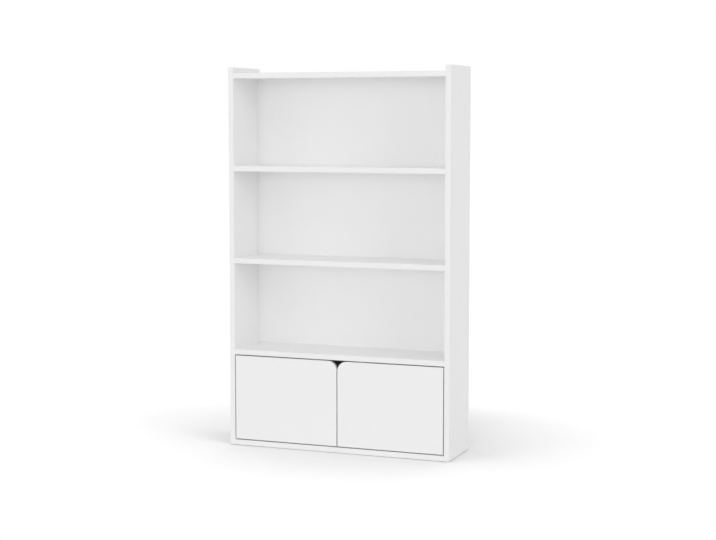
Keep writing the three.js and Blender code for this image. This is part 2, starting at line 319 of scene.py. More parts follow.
def sides_met(point, box):
    """The sides of the box on which a point lies, each an axis and 0 for low or 1 for high."""
    return {
        (axis, end) for axis in range(3) for end in (0, 1)
        if abs(point[axis] - box[end][axis]) < TOUCH
    }


def depth_in(point, box, sides):
    """How far the point lies below the nearest of those sides of the box."""
    return min(abs(point[axis] - box[end][axis]) for axis, end in sides)


def ease(bm, edges, width, steps=1):
    """Rounds the edges in a number of steps. One step is a chamfer."""
    bmesh.ops.bevel(
        bm, geom=edges, offset=width, segments=steps, profile=0.5, affect="EDGES", material=-1,
        clamp_overlap=True,
    )


ALL_SIDES = {(axis, end) for axis in range(3) for end in (0, 1)}
FRONT, REAR, TOP, BOTTOM, LEFT_END, RIGHT_END = (1, 0), (1, 1), (2, 1), (2, 0), (0, 0), (0, 1)
PAIR = ("left", "right")
BOARD_FINISHES = (melamine, band, core)
FACED, BANDED, BARE = range(3)


def cut_board(node, banded, sawn):
    """A copy of the plain board with its bores. Banded sides are scraped round, sawn ones bare."""
    bm = plain_solid(node)
    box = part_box(node)
    scraped = []
    for edge in bm.edges:
        met = sides_met(edge.verts[0].co, box) & sides_met(edge.verts[1].co, box)
        if len(met) == 2 and met & banded and not met & sawn:
            scraped.append(edge)
    ease(bm, scraped, ARRIS, ARRIS_STEPS)

    for side in sorted(sawn):
        others = {other for other in ALL_SIDES if other[0] != side[0]}
        rim = [
            edge for edge in bm.edges
            if sum(side in sides_met(face.calc_center_median(), box)
                   for face in edge.link_faces) == 1
            and all(side in sides_met(vert.co, box) for vert in edge.verts)
            and all(depth_in(vert.co, box, others) < ARRIS + TOUCH for vert in edge.verts)
        ]
        ease(bm, rim, SAWN)

    for axis, end in sorted(banded):
        inward = Vector([(1 - 2 * end) * (share == axis) for share in range(3)])
        bmesh.ops.bisect_plane(
            bm, geom=bm.verts[:] + bm.edges[:] + bm.faces[:], dist=WELD,
            plane_co=box[end] + inward * BAND, plane_no=inward,
        )
    for face in bm.faces:
        middle = face.calc_center_median()
        if depth_in(middle, box, ALL_SIDES) > BAND or sides_met(middle, box) & sawn:
            face.material_index = BARE
        elif depth_in(middle, box, banded) < BAND:
            face.material_index = BANDED
    return bm


for side_name in PAIR:
    node = f"{side_name}_side_panel"
    bm = cut_board(node, {FRONT, REAR, TOP}, {BOTTOM})
    panel = add_piece(f"{node}_faced", bm, *BOARD_FINISHES)
    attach(panel, "case")
    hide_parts(node)


# The boards between them
# Five boards of the same stuff, sawn to length and held end-on between the side panels. The
# bottom and top ones run right back and are banded in front and behind. The other three are
# banded in front and end bare at the back panel.
BOARDS = {  # the banded and the sawn sides of each
    "bottom_board": ({FRONT, REAR}, {LEFT_END, RIGHT_END}),
    "cabinet_top_board": ({FRONT}, {LEFT_END, RIGHT_END, REAR}),
    "lower_shelf": ({FRONT}, {LEFT_END, RIGHT_END, REAR}),
    "upper_shelf": ({FRONT}, {LEFT_END, RIGHT_END, REAR}),
    "top_board": ({FRONT, REAR}, {LEFT_END, RIGHT_END}),
}
for node, (banded, sawn) in BOARDS.items():
    bm = cut_board(node, banded, sawn)
    board = add_piece(f"{node}_faced", bm, *BOARD_FINISHES)
    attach(board, "case")
    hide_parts(node)


# The back panel
# A sheet of 4 mm hardboard that slides in grooves in the side panels and in the top and bottom
# boards. Its face is lacquered white by roller. Its rear bears the mesh that the press leaves.

# The lacquer has a soft, slightly dimpled skin, a touch duller than the boards.
LACQUER_IOR = 1.5
LACQUER_ROUGHNESS = (0.5, 0.6)
DIMPLE = 2.5 * MM
DIMPLE_HEIGHT = 0.03 * MM

lacquer = bpy.data.materials.new("hardboard_white_lacquered")
lacquer.use_nodes = True
tree = lacquer.node_tree
surface = tree.nodes["Principled BSDF"]
surface.inputs["Base Color"].default_value = linear("F8F8F8")
surface.inputs["IOR"].default_value = LACQUER_IOR
place = add_node(tree, "ShaderNodeTexCoord", {}).outputs["Object"]
dimples = add_node(tree, "ShaderNodeTexNoise", {
    "Vector": place, "Scale": 1 / DIMPLE, "Detail": 1.0,
})
sheen = add_node(tree, "ShaderNodeMapRange", {
    "Value": dimples.outputs["Fac"], "To Min": LACQUER_ROUGHNESS[0],
    "To Max": LACQUER_ROUGHNESS[1],
})
relief = add_node(tree, "ShaderNodeBump", {
    "Strength": 1.0, "Distance": DIMPLE_HEIGHT, "Height": dimples.outputs["Fac"],
})
tree.links.new(sheen.outputs["Result"], surface.inputs["Roughness"])
tree.links.new(relief.outputs["Normal"], surface.inputs["Normal"])

# The rear is primed white over the mesh marks of the press, drawn at twice their real spacing
# of 1.5 mm so that they show.
PRIMER_ROUGHNESS = 0.8
MESH_SPACING = 3.0 * MM
MESH_HEIGHT = 0.1 * MM
METRE_WAVE = math.pi / 10  # the scale at which a wave texture repeats once a metre

primed = bpy.data.materials.new("hardboard_mesh_side_primed")
primed.use_nodes = True
tree = primed.node_tree
surface = tree.nodes["Principled BSDF"]
surface.inputs["Roughness"].default_value = PRIMER_ROUGHNESS
place = add_node(tree, "ShaderNodeTexCoord", {}).outputs["Object"]
wires = [
    add_node(tree, "ShaderNodeTexWave", {
        "Vector": place, "Scale": METRE_WAVE / MESH_SPACING, "Distortion": 0.4,
        "Detail Scale": 1 / MESH_SPACING,
    }, bands_direction=direction)
    for direction in ("X", "Z")
]
marks = add_node(tree, "ShaderNodeMath", {
    0: wires[0].outputs["Fac"], 1: wires[1].outputs["Fac"],
}, operation="MULTIPLY")
tone = add_node(tree, "ShaderNodeMix", {
    0: marks.outputs[0], 6: linear("F0F0EF"), 7: linear("E9E9E7"),
}, data_type="RGBA")
relief = add_node(tree, "ShaderNodeBump", {
    "Strength": 0.5, "Distance": MESH_HEIGHT, "Height": marks.outputs[0],
})
tree.links.new(tone.outputs[2], surface.inputs["Base Color"])
tree.links.new(relief.outputs["Normal"], surface.inputs["Normal"])

LACQUERED, PRIMED = range(2)
HALF_TURNED = 0.5  # the share of a normal that takes in the front's chamfers, but not the edges
bm = plain_solid("back_panel")
ease(bm, bm.edges[:], SAWN)
for face in bm.faces:
    face.material_index = LACQUERED if face.normal.y < -HALF_TURNED else PRIMED
back_panel = add_piece("back_panel_sheet", bm, lacquer, primed)
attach(back_panel, "case")
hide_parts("back_panel")


# The doors
# Two slabs of 18 mm faced board, inset flush with the case, banded all round. The top corner of
# each at the middle is cut to a quarter circle, and the two corners make the finger notch. Each
# door is bored at the back for its hinge cups and their dowels.
NOTCH_RADIUS = 45 * MM
NOTCH_STEPS = 24
CUP_RADIUS = 17.5 * MM
CUP_DEPTH = 12.8 * MM
DOWEL_RADIUS = 4 * MM
DOWEL_DEPTH = 8 * MM
DOWEL_SPACING = 45 * MM
EAR_OFFSET = 9.5 * MM  # from the cup's centre, away from the door's hung edge
BORE_ROOM = 0.1 * MM  # round and under what sits in it
BORE_STEPS = 48
FACING = 0.99  # the least share of a normal along a direction, for a face turned that way


def made(geom, kind):
    """The corners, edges or faces among what an operator made."""
    return [item for item in geom if isinstance(item, kind)]


def round_corners(bm, corners, radius, steps):
    """Rounds those corners of a flat outline."""
    bmesh.ops.bevel(
        bm, geom=corners, offset=radius, segments=steps, profile=0.5, affect="VERTICES",
        material=-1,
    )


def thicken(bm, shift):
    """Makes a slab of the flat outline drawn so far."""
    pushed = bmesh.ops.extrude_face_region(bm, geom=bm.faces[:])["geom"]
    bmesh.ops.translate(bm, vec=shift, verts=made(pushed, BMVert))
    bmesh.ops.recalc_face_normals(bm, faces=bm.faces)


def bores_in(side_name):
    """Each bore in a door's back: its centre there, its radius and its depth."""
    bores = []
    for level in ("upper", "lower"):
        low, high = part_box(f"{side_name}_{level}_hinge_cup")
        cup = (low + high) / 2
        inwards = -math.copysign(1, cup.x)
        bores.append((cup.x, cup.z, CUP_RADIUS, CUP_DEPTH))
        for end in (1, -1):
            bores.append((
                cup.x + inwards * EAR_OFFSET, cup.z + end * DOWEL_SPACING / 2, DOWEL_RADIUS,
                DOWEL_DEPTH,
            ))
    return bores


for side_name in PAIR:
    node = f"{side_name}_door"
    low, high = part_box(node)
    free = min(low.x, high.x, key=abs)
    hung = max(low.x, high.x, key=abs)
    bm = bmesh.new()
    corners = [
        bm.verts.new((x, low.y, z))
        for x, z in ((hung, high.z), (hung, low.z), (free, low.z), (free, high.z))
    ]
    notch_corner = corners[-1]
    bm.faces.new(corners)
    round_corners(bm, [notch_corner], NOTCH_RADIUS, NOTCH_STEPS)
    thicken(bm, (0, high.y - low.y, 0))
    ease(bm, [
        edge for edge in bm.edges
        if any(abs(face.normal.y) > FACING for face in edge.link_faces)
    ], ARRIS, ARRIS_STEPS)
    slab_faces = [face for face in bm.faces if abs(face.normal.y) > FACING]
    bmesh.ops.inset_individual(bm, faces=slab_faces, thickness=BAND - ARRIS)
    for face in bm.faces:
        face.material_index = FACED if face in slab_faces else BANDED

    back = next(face for face in slab_faces if face.normal.y > 0)
    rims = back.edges[:]
    bmesh.ops.delete(bm, geom=[back], context="FACES_ONLY")
    mouths = []
    for x, z, radius, depth in bores_in(side_name):
        ring = bmesh.ops.create_circle(
            bm, cap_ends=False, segments=BORE_STEPS, radius=radius + BORE_ROOM,
            matrix=Matrix.Translation((x, high.y, z)) @ Matrix.Rotation(math.pi / 2, 4, "X"),
        )
        mouth = dict.fromkeys(edge for vert in ring["verts"] for edge in vert.link_edges)
        mouths.append((list(mouth), depth))
    filled = bmesh.ops.triangle_fill(
        bm, use_beauty=True, use_dissolve=False, normal=(0, 1, 0),
        edges=rims + [edge for mouth, depth in mouths for edge in mouth],
    )["geom"]
    for face in made(filled, BMFace):
        face.material_index = FACED
    for mouth, depth in mouths:
        pushed = bmesh.ops.extrude_edge_only(bm, edges=mouth)["geom"]
        bmesh.ops.translate(bm, vec=(0, -depth - BORE_ROOM, 0), verts=made(pushed, BMVert))
        bored = bmesh.ops.contextual_create(bm, geom=made(pushed, BMEdge))["faces"]
        for face in made(pushed, BMFace) + bored:
            face.material_index = BARE
    bmesh.ops.recalc_face_normals(bm, faces=bm.faces)
    door = add_piece(f"{node}_faced", bm, *BOARD_FINISHES)
    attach(door, node)
    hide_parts(node)


# The hinge cups
# Each is drawn from steel sheet to a cup 35 mm wide, with two ears that lie on the door's back, and
# nickel plated. Screws through the ears spread two barbed nylon dowels that hold it in the board.
SHEET = 0.8 * MM
FLANGE_RADIUS = 19 * MM
DRAWN_RADIUS = 1.4 * MM  # what the drawing die leaves at the cup's bottom, outside
DRAWN_INSIDE = 0.8 * MM
EAR_SHEET = 0.6 * MM
EAR_WIDTH = 16 * MM
EAR_LENGTH = 56 * MM  # over both ears
EAR_CUT = 18 * MM  # the radius of the ears' edge, hidden under the flange
EAR_CORNER = 5 * MM
EAR_STEPS = 8
BARB = 0.5 * MM
BARBS = 5
EAR_SCREW = (3.4 * MM, 1.1 * MM)  # the radius and height of its head
PRESSED_EDGE = 0.15 * MM
EDGE_STEPS = 2
ROUND_STEPS = 48
HEAD_STEPS = 32
SHARP = math.radians(30)  # faces that meet at more have an edge between them


def satin_finish(name, colour, patch, roughness, relief, metallic=0.0):
    """An even colour whose roughness varies in small patches, over a relief of the same size."""
    finish = bpy.data.materials.new(name)
    finish.use_nodes = True
    tree = finish.node_tree
    surface = tree.nodes["Principled BSDF"]
    surface.inputs["Base Color"].default_value = linear(colour)
    surface.inputs["Metallic"].default_value = metallic
    place = add_node(tree, "ShaderNodeTexCoord", {}).outputs["Object"]
    patches = add_node(tree, "ShaderNodeTexNoise", {
        "Vector": place, "Scale": 1 / patch, "Detail": 3.0,
    })
    gloss = add_node(tree, "ShaderNodeMapRange", {
        "Value": patches.outputs["Fac"], "To Min": roughness[0], "To Max": roughness[1],
    })
    bump = add_node(tree, "ShaderNodeBump", {
        "Distance": relief, "Height": patches.outputs["Fac"],
    })
    tree.links.new(gloss.outputs["Result"], surface.inputs["Roughness"])
    tree.links.new(bump.outputs["Normal"], surface.inputs["Normal"])
    return finish


# Nickel plate on pressed steel is a warm bright grey, satin from the press. The screws are zinc
# plated, a little bluer and duller. The dowels are grey moulded nylon, soft and matt.
nickel = satin_finish(
    "nickel_plated_pressed_steel", "CBC8C2", patch=4 * MM, roughness=(0.24, 0.31),
    relief=0.01 * MM, metallic=1.0,
)
zinc_plate = satin_finish(
    "zinc_plated_steel_screws", "C3C7CB", patch=2 * MM, roughness=(0.28, 0.42),
    relief=0.01 * MM, metallic=1.0,
)
nylon = satin_finish(
    "nylon_dowels_moulded", "8F9194", patch=1 * MM, roughness=(0.5, 0.62), relief=0.02 * MM,
)


def aimed(point, axis):
    """The place that sets a shape's foot at a point and turns its +Z along an axis."""
    turn = Vector((0, 0, 1)).rotation_difference(Vector(axis))
    return Matrix.Translation(point) @ turn.to_matrix().to_4x4()


def ease_sharp(bm, width, steps=EDGE_STEPS):
    """Joins the faces that lie in one plane, and rounds the sharp edges that are left."""
    bmesh.ops.dissolve_limit(bm, angle_limit=FLAT, verts=bm.verts, edges=bm.edges)
    ease(bm, [edge for edge in bm.edges if edge.calc_face_angle(0) > SHARP], width, steps)


def as_shape(name, bm, eased=0.0):
    """A closed shape whose sharp edges are rounded off, to be copied into pieces."""
    bmesh.ops.remove_doubles(bm, verts=bm.verts, dist=WELD)
    bmesh.ops.recalc_face_normals(bm, faces=bm.faces)
    if eased:
        ease_sharp(bm, eased)
    shape = bpy.data.meshes.new(name)
    bm.to_mesh(shape)
    bm.free()
    return shape


def turned(name, profile, eased=0.0):
    """A round shape: its (radius, height) points spun about +Z."""
    bm = bmesh.new()
    points = [bm.verts.new((radius, 0, height)) for radius, height in profile]
    edges = [bm.edges.new(pair) for pair in zip(points, points[1:])]
    bmesh.ops.spin(
        bm, geom=points + edges, cent=(0, 0, 0), axis=(0, 0, 1), angle=2 * math.pi,
        steps=ROUND_STEPS, use_merge=True,
    )
    return as_shape(name, bm, eased)


def crossed_head(name, reach, depth, profile):
    """A head with a cross recess, facing +Z. Its (radius, height) rings run from its crown down."""
    arm_width = 0.55  # as a share of a third of the cut's width
    taper = 0.7  # the floor's width as a share of the mouth's
    bm = bmesh.new()
    crown, height = profile[0]
    top = Matrix.Translation((0, 0, height))
    bmesh.ops.create_grid(bm, x_segments=3, y_segments=3, size=reach, matrix=top)
    bmesh.ops.delete(bm, context="FACES", geom=[
        face for face in bm.faces
        if min(abs(share) for share in face.calc_center_median().xy) > WELD
    ])
    for vert in bm.verts:
        for axis in (0, 1):
            if abs(vert.co[axis]) < reach / 2:
                vert.co[axis] *= arm_width
    cross = bm.faces[:] + bm.edges[:]
    mouth = [edge for edge in bm.edges if edge.is_boundary]
    rim = bmesh.ops.create_circle(bm, segments=HEAD_STEPS, radius=crown, matrix=top)["verts"]
    ring = list(dict.fromkeys(edge for vert in rim for edge in vert.link_edges))
    bmesh.ops.triangle_fill(
        bm, use_beauty=True, use_dissolve=False, normal=(0, 0, 1), edges=mouth + ring,
    )
    sunk = made(bmesh.ops.extrude_face_region(bm, geom=cross)["geom"], BMVert)
    bmesh.ops.translate(bm, vec=(0, 0, -depth), verts=sunk)
    bmesh.ops.scale(bm, vec=(taper, taper, 1), verts=sunk)
    for (radius, height), (next_radius, next_height) in zip(profile, profile[1:]):
        pushed = bmesh.ops.extrude_edge_only(bm, edges=ring)["geom"]
        ring, around = made(pushed, BMEdge), made(pushed, BMVert)
        grown = next_radius / radius
        bmesh.ops.scale(bm, vec=(grown, grown, 1), verts=around)
        bmesh.ops.translate(bm, vec=(0, 0, next_height - height), verts=around)
    bmesh.ops.contextual_create(bm, geom=ring)
    return as_shape(name, bm)


def pan_head(name, radius, height):
    """The domed head of a small screw, with a cross recess."""
    # shares of the radius and the height, from the crown down
    dome = ((0.7, 1.0), (0.87, 0.9), (0.96, 0.72), (1.0, 0.45), (1.0, 0.0))
    rings = [(radius * across, height * up) for across, up in dome]
    cross_reach, cross_depth = radius * 0.55, height * 0.7
    return crossed_head(name, cross_reach, cross_depth, rings)


def add_copy(bm, shape, place, finish=0):
    """Adds a copy of a shape to a piece, in its place and in one of the piece's finishes."""
    placed = shape.copy()
    placed.transform(place)
    for face in placed.polygons:
        face.material_index = finish
    bm.from_mesh(placed)
    bpy.data.meshes.remove(placed)


cup_bore = CUP_RADIUS - SHEET
cup_top = CUP_DEPTH + SHEET
drawn_cup = turned("drawn_cup", (
    (0, 0), (CUP_RADIUS - DRAWN_RADIUS, 0), (CUP_RADIUS, DRAWN_RADIUS), (CUP_RADIUS, CUP_DEPTH),
    (FLANGE_RADIUS, CUP_DEPTH), (FLANGE_RADIUS, cup_top), (cup_bore, cup_top),
    (cup_bore, SHEET + DRAWN_INSIDE), (cup_bore - DRAWN_INSIDE, SHEET), (0, SHEET),
), PRESSED_EDGE)

ears = bmesh.new()
ear_near, ear_far = EAR_OFFSET - EAR_WIDTH / 2, EAR_OFFSET + EAR_WIDTH / 2
start, stop = math.acos(ear_near / EAR_CUT), math.acos(ear_far / EAR_CUT)
for end in (1, -1):
    first = ears.verts.new((ear_near, end * EAR_CUT * math.sin(start), CUP_DEPTH))
    spun = bmesh.ops.spin(
        ears, geom=[first], cent=(0, 0, 0), axis=(0, 0, 1), angle=end * (stop - start),
        steps=EAR_STEPS, use_merge=False,
    )
    corners = [ears.verts.new((x, end * EAR_LENGTH / 2, CUP_DEPTH)) for x in (ear_far, ear_near)]
    outer = [made(spun["geom_last"], BMVert)[0], *corners, first]
    for pair in zip(outer, outer[1:]):
        ears.edges.new(pair)
    bmesh.ops.contextual_create(ears, geom=[edge for edge in ears.edges if edge.is_wire])
    round_corners(ears, corners, EAR_CORNER, EAR_STEPS)
thicken(ears, (0, 0, EAR_SHEET))
pressed_ears = as_shape("pressed_ears", ears, PRESSED_EDGE)

barb_step = DOWEL_DEPTH / BARBS
barbed_dowel = turned("barbed_dowel", (
    (0, -DOWEL_DEPTH),
    *(point for count in range(BARBS) for point in (
        (DOWEL_RADIUS - BARB, -DOWEL_DEPTH + count * barb_step),
        (DOWEL_RADIUS, -DOWEL_DEPTH + (count + 1) * barb_step),
    )),
    (0, 0),
))
ear_screw = pan_head("ear_screw", *EAR_SCREW)

PLATED, SCREWED, NYLON = range(3)
HINGES = [(side_name, level) for side_name in PAIR for level in ("upper", "lower")]
for side_name, level in HINGES:
    node = f"{side_name}_{level}_hinge_cup"
    low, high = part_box(node)
    bottom = Vector(((low.x + high.x) / 2, low.y, (low.z + high.z) / 2))
    place = aimed(bottom, (0, 1, 0))
    if bottom.x > 0:
        place = place @ Matrix.Rotation(math.pi, 4, "Z")
    bm = bmesh.new()
    add_copy(bm, drawn_cup, place, PLATED)
    add_copy(bm, pressed_ears, place, PLATED)
    for end in (1, -1):
        seat = Matrix.Translation((EAR_OFFSET, end * DOWEL_SPACING / 2, CUP_DEPTH))
        add_copy(bm, barbed_dowel, place @ seat, NYLON)
        add_copy(bm, ear_screw, place @ seat @ Matrix.Translation((0, 0, EAR_SHEET)), SCREWED)
    cup = add_piece(f"{node}_drawn", bm, nickel, zinc_plate, nylon)
    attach(cup, f"{side_name}_door")
    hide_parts(node)


# The hinge pins
# Each is a plain steel pin, riveted across the cup near its wall, on which the arm's eye turns.
# Its ends are chamfered.
PIN_RADIUS = 1.25 * MM
PIN_CHAMFER = 0.3 * MM

low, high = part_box("left_upper_hinge_pin")
pin_length = high.z - low.z
rod = turned("rod", (
    (0, 0), (PIN_RADIUS - PIN_CHAMFER, 0), (PIN_RADIUS, PIN_CHAMFER),
    (PIN_RADIUS, pin_length - PIN_CHAMFER), (PIN_RADIUS - PIN_CHAMFER, pin_length),
    (0, pin_length),
))
for side_name, level in HINGES:
    node = f"{side_name}_{level}_hinge_pin"
    low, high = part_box(node)
    foot = Vector(((low.x + high.x) / 2, (low.y + high.y) / 2, low.z))
    bm = bmesh.new()
    add_copy(bm, rod, Matrix.Translation(foot))
    pin = add_piece(f"{node}_riveted", bm, nickel)
    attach(pin, f"{side_name}_door")
    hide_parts(node)


# The hinge arms
# Each is a strip of 1.5 mm steel, folded to reach out of the cup and round the door's edge. It has
# an eye for the pin, two legs that hug the mounting plate, and an adjusting and a fixing screw.
ARM_SHEET = 1.5 * MM
ARM_WIDTH = 14 * MM
FOLD = 1.5 * MM  # the radius inside a fold
CORNER_STEPS = 6  # in each fold or rounded corner
EYE_BORE = 1.35 * MM
EYE_RADIUS = 3 * MM
EYE_SEAM = 2.2 * MM  # where the strip grows out of the eye
CAD_SHEET = 2.5 * MM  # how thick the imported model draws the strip
CROSSING = 19.3 * MM  # from the pin back to the middle of the fold round the door's edge
LEG = 4.5 * MM  # how far a leg reaches towards the side panel
LEG_SHEET = 1.3 * MM
ARM_SCREW = (3.2 * MM, 1.2 * MM)  # the radius and height of its head
ARM_SCREW_SPACING = 24 * MM


def split_faces(bm, faces, point, normal):
    """Cuts those faces, and no others, where a plane crosses them."""
    touched = dict.fromkeys(item for face in faces for item in (*face.verts, *face.edges, face))
    bmesh.ops.bisect_plane(
        bm, geom=list(touched), dist=WELD, plane_co=point, plane_no=normal,
    )


def raise_faces(bm, faces, shift):
    """Raises those faces out of the surface round them."""
    edges = dict.fromkeys(edge for face in faces for edge in face.edges)
    grown = bmesh.ops.extrude_face_region(bm, geom=[*faces, *edges])["geom"]
    bmesh.ops.translate(bm, vec=shift, verts=made(grown, BMVert))


arm_screw = pan_head("arm_screw", *ARM_SCREW)
eye = turned("eye", (
    (EYE_BORE, 0), (EYE_RADIUS, 0), (EYE_RADIUS, ARM_WIDTH), (EYE_BORE, ARM_WIDTH), (EYE_BORE, 0),
), PRESSED_EDGE)
for side_name, level in HINGES:
    hinge = f"{side_name}_{level}_hinge"
    low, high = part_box(f"{hinge}_arm")
    pin_low, pin_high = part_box(f"{hinge}_pin")
    plate_low, plate_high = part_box(f"{hinge}_plate")
    pin = (pin_low + pin_high) / 2
    outwards = math.copysign(1, pin.x)  # towards the side panel
    half = ARM_SHEET / 2
    neck = abs(pin.x) - min(abs(low.x), abs(high.x)) - CAD_SHEET / 2
    strip = abs(pin.x) - max(abs(low.x), abs(high.x)) + CAD_SHEET / 2
    tail = high.y - pin.y
    outside, inside = FOLD + ARM_SHEET, FOLD

    outline = (  # from the pin: how far inwards and how far back, and the radius of the fold
        (EYE_SEAM, -half, 0), (neck + half, -half, outside),
        (neck + half, CROSSING + half, outside), (strip + half, CROSSING + half, inside),
        (strip + half, tail, 0), (strip - half, tail, 0),
        (strip - half, CROSSING - half, outside), (neck - half, CROSSING - half, inside),
        (neck - half, half, inside), (EYE_SEAM, half, 0),
    )
    bm = bmesh.new()
    corners = [
        bm.verts.new((pin.x - outwards * across, pin.y + back, low.z))
        for across, back, radius in outline
    ]
    bm.faces.new(corners)
    for fold in (outside, inside):
        round_corners(bm, [
            corner for corner, (across, back, radius) in zip(corners, outline) if radius == fold
        ], fold, CORNER_STEPS)
    thicken(bm, (0, 0, high.z - low.z))

    panel_side = [face for face in bm.faces if face.normal.x * outwards > FACING]
    sole_x = max(panel_side, key=lambda face: face.calc_area()).calc_center_median().x
    leg_start = pin.y + CROSSING + half + FOLD
    for cut, normal in (
        ((0, leg_start, 0), (0, 1, 0)),
        ((0, 0, low.z + LEG_SHEET), (0, 0, 1)),
        ((0, 0, high.z - LEG_SHEET), (0, 0, 1)),
    ):
        soles = [
            face for face in bm.faces
            if face.normal.x * outwards > FACING
            and abs(face.calc_center_median().x - sole_x) < WELD
        ]
        split_faces(bm, soles, cut, normal)
    raise_faces(bm, [
        face for face in bm.faces
        if face.normal.x * outwards > FACING and face.calc_center_median().y > leg_start
        and not low.z + LEG_SHEET < face.calc_center_median().z < high.z - LEG_SHEET
    ], (outwards * LEG, 0, 0))
    ease_sharp(bm, PRESSED_EDGE)

    add_copy(bm, eye, Matrix.Translation((pin.x, pin.y, low.z)), PLATED)
    for end in (1, -1):
        seat = Vector((
            pin.x - outwards * (strip + half),
            (plate_low.y + plate_high.y + end * ARM_SCREW_SPACING) / 2, pin.z,
        ))
        add_copy(bm, arm_screw, aimed(seat, (-outwards, 0, 0)), SCREWED)
    arm = add_piece(f"{hinge}_arm_folded", bm, nickel, zinc_plate)
    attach(arm, "case")
    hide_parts(f"{hinge}_arm")


# The mounting plates
# Each is a cross of pressed steel on the side panel: two round-ended wings for the screws, and a
# rib along the hinge that carries the arm. It is nickel plated as the cup is.
WING_LENGTH = 52 * MM
WING_WIDTH = 16 * MM
WING_CORNER = 7.5 * MM
WING_HEIGHT = 3 * MM
RIB_WIDTH = 10.5 * MM
RIB_CORNER = 2 * MM
PLATE_EDGE = 0.5 * MM

for side_name, level in HINGES:
    node = f"{side_name}_{level}_hinge_plate"
    low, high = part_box(node)
    middle = (low + high) / 2
    outwards = math.copysign(1, middle.x)
    face_x = max(low.x, high.x, key=abs)
    rib_half = (high.y - low.y) / 2
    bm = bmesh.new()
    quarter = (
        (WING_WIDTH / 2, WING_LENGTH / 2), (WING_WIDTH / 2, RIB_WIDTH / 2),
        (rib_half, RIB_WIDTH / 2),
    )
    outline = []
    for y_sign, z_sign in ((1, 1), (1, -1), (-1, -1), (-1, 1)):
        points = quarter if y_sign == z_sign else quarter[::-1]
        for y, z in points:
            outline.append(bm.verts.new((face_x, middle.y + y_sign * y, middle.z + z_sign * z)))
    bm.faces.new(outline)
    wing_corners = [vert for vert in outline if abs(vert.co.z - middle.z) > RIB_WIDTH]
    rib_corners = [vert for vert in outline if abs(vert.co.y - middle.y) > WING_WIDTH]
    for corners, radius in ((wing_corners, WING_CORNER), (rib_corners, RIB_CORNER)):
        round_corners(bm, corners, radius, CORNER_STEPS)
    thicken(bm, (-outwards * WING_HEIGHT, 0, 0))
    for end in (1, -1):
        tops = [face for face in bm.faces if face.normal.x * outwards < -FACING]
        split_faces(bm, tops, (0, 0, middle.z + end * RIB_WIDTH / 2), (0, 0, 1))
    raise_faces(bm, [
        face for face in bm.faces
        if face.normal.x * outwards < -FACING
        and abs(face.calc_center_median().z - middle.z) < RIB_WIDTH / 2
    ], (-outwards * (high.x - low.x - WING_HEIGHT), 0, 0))
    ease_sharp(bm, PLATE_EDGE)
    plate = add_piece(f"{node}_pressed", bm, nickel)
    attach(plate, "case")
    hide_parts(node)


# The mounting plates' screws
# Each is a short steel screw with a domed cross-recessed head and a coarse thread that bites into
# the side panel. It is zinc plated.
SCREW_CORE = 1.5 * MM
SCREW_CREST = 2.0 * MM
SCREW_PITCH = 1.8 * MM
SCREW_POINT = 2.5 * MM
SCREW_BITE = 12 * MM  # how deep it goes into the side panel
HEAD_RADIUS = 3.8 * MM
HEAD_HEIGHT = 1.8 * MM
RIDGE = 0.5  # the share of the pitch that a thread's ridge takes up
THREAD_STEPS = 16  # in one turn


def thread(name, core, crest, pitch, length):
    """A helical ridge round +Z, from the ground up, closed at both ends."""
    bm = bmesh.new()
    root = core - WELD
    points = [
        bm.verts.new((radius, 0, height))
        for radius, height in ((root, 0), (crest, RIDGE * pitch / 2), (root, RIDGE * pitch))
    ]
    edges = [bm.edges.new(pair) for pair in zip(points, points[1:] + points[:1])]
    steps = round((length / pitch - RIDGE) * THREAD_STEPS)
    bmesh.ops.spin(
        bm, geom=points + edges, cent=(0, 0, 0), axis=(0, 0, 1),
        dvec=(0, 0, pitch / THREAD_STEPS), angle=2 * math.pi * steps / THREAD_STEPS, steps=steps,
        use_merge=False,
    )
    bmesh.ops.holes_fill(bm, edges=bm.edges[:], sides=3)
    return as_shape(name, bm)


plate_head = pan_head("plate_head", HEAD_RADIUS, HEAD_HEIGHT)
straight = SCREW_BITE - SCREW_POINT
plate_thread = thread("plate_thread", SCREW_CORE, SCREW_CREST, SCREW_PITCH, straight)
plate_shank = turned("plate_shank", (
    (0, 0), (SCREW_CREST, 0), (SCREW_CREST, WING_HEIGHT), (SCREW_CORE, WING_HEIGHT),
    (SCREW_CORE, WING_HEIGHT + straight), (0, WING_HEIGHT + SCREW_BITE),
))
for side_name, level in HINGES:
    for end_name in ("top", "bottom"):
        node = f"{side_name}_{level}_hinge_{end_name}_screw"
        low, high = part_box(node)
        outwards = math.copysign(1, low.x)
        seat = Vector((
            min(low.x, high.x, key=abs) + outwards * HEAD_HEIGHT, (low.y + high.y) / 2,
            (low.z + high.z) / 2,
        ))
        bm = bmesh.new()
        add_copy(bm, plate_head, aimed(seat, (-outwards, 0, 0)))
        inwards = aimed(seat, (outwards, 0, 0))
        add_copy(bm, plate_shank, inwards)
        add_copy(bm, plate_thread, inwards @ Matrix.Translation((0, 0, WING_HEIGHT)))
        screw = add_piece(f"{node}_threaded", bm, zinc_plate)
        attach(screw, "case")
        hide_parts(node)


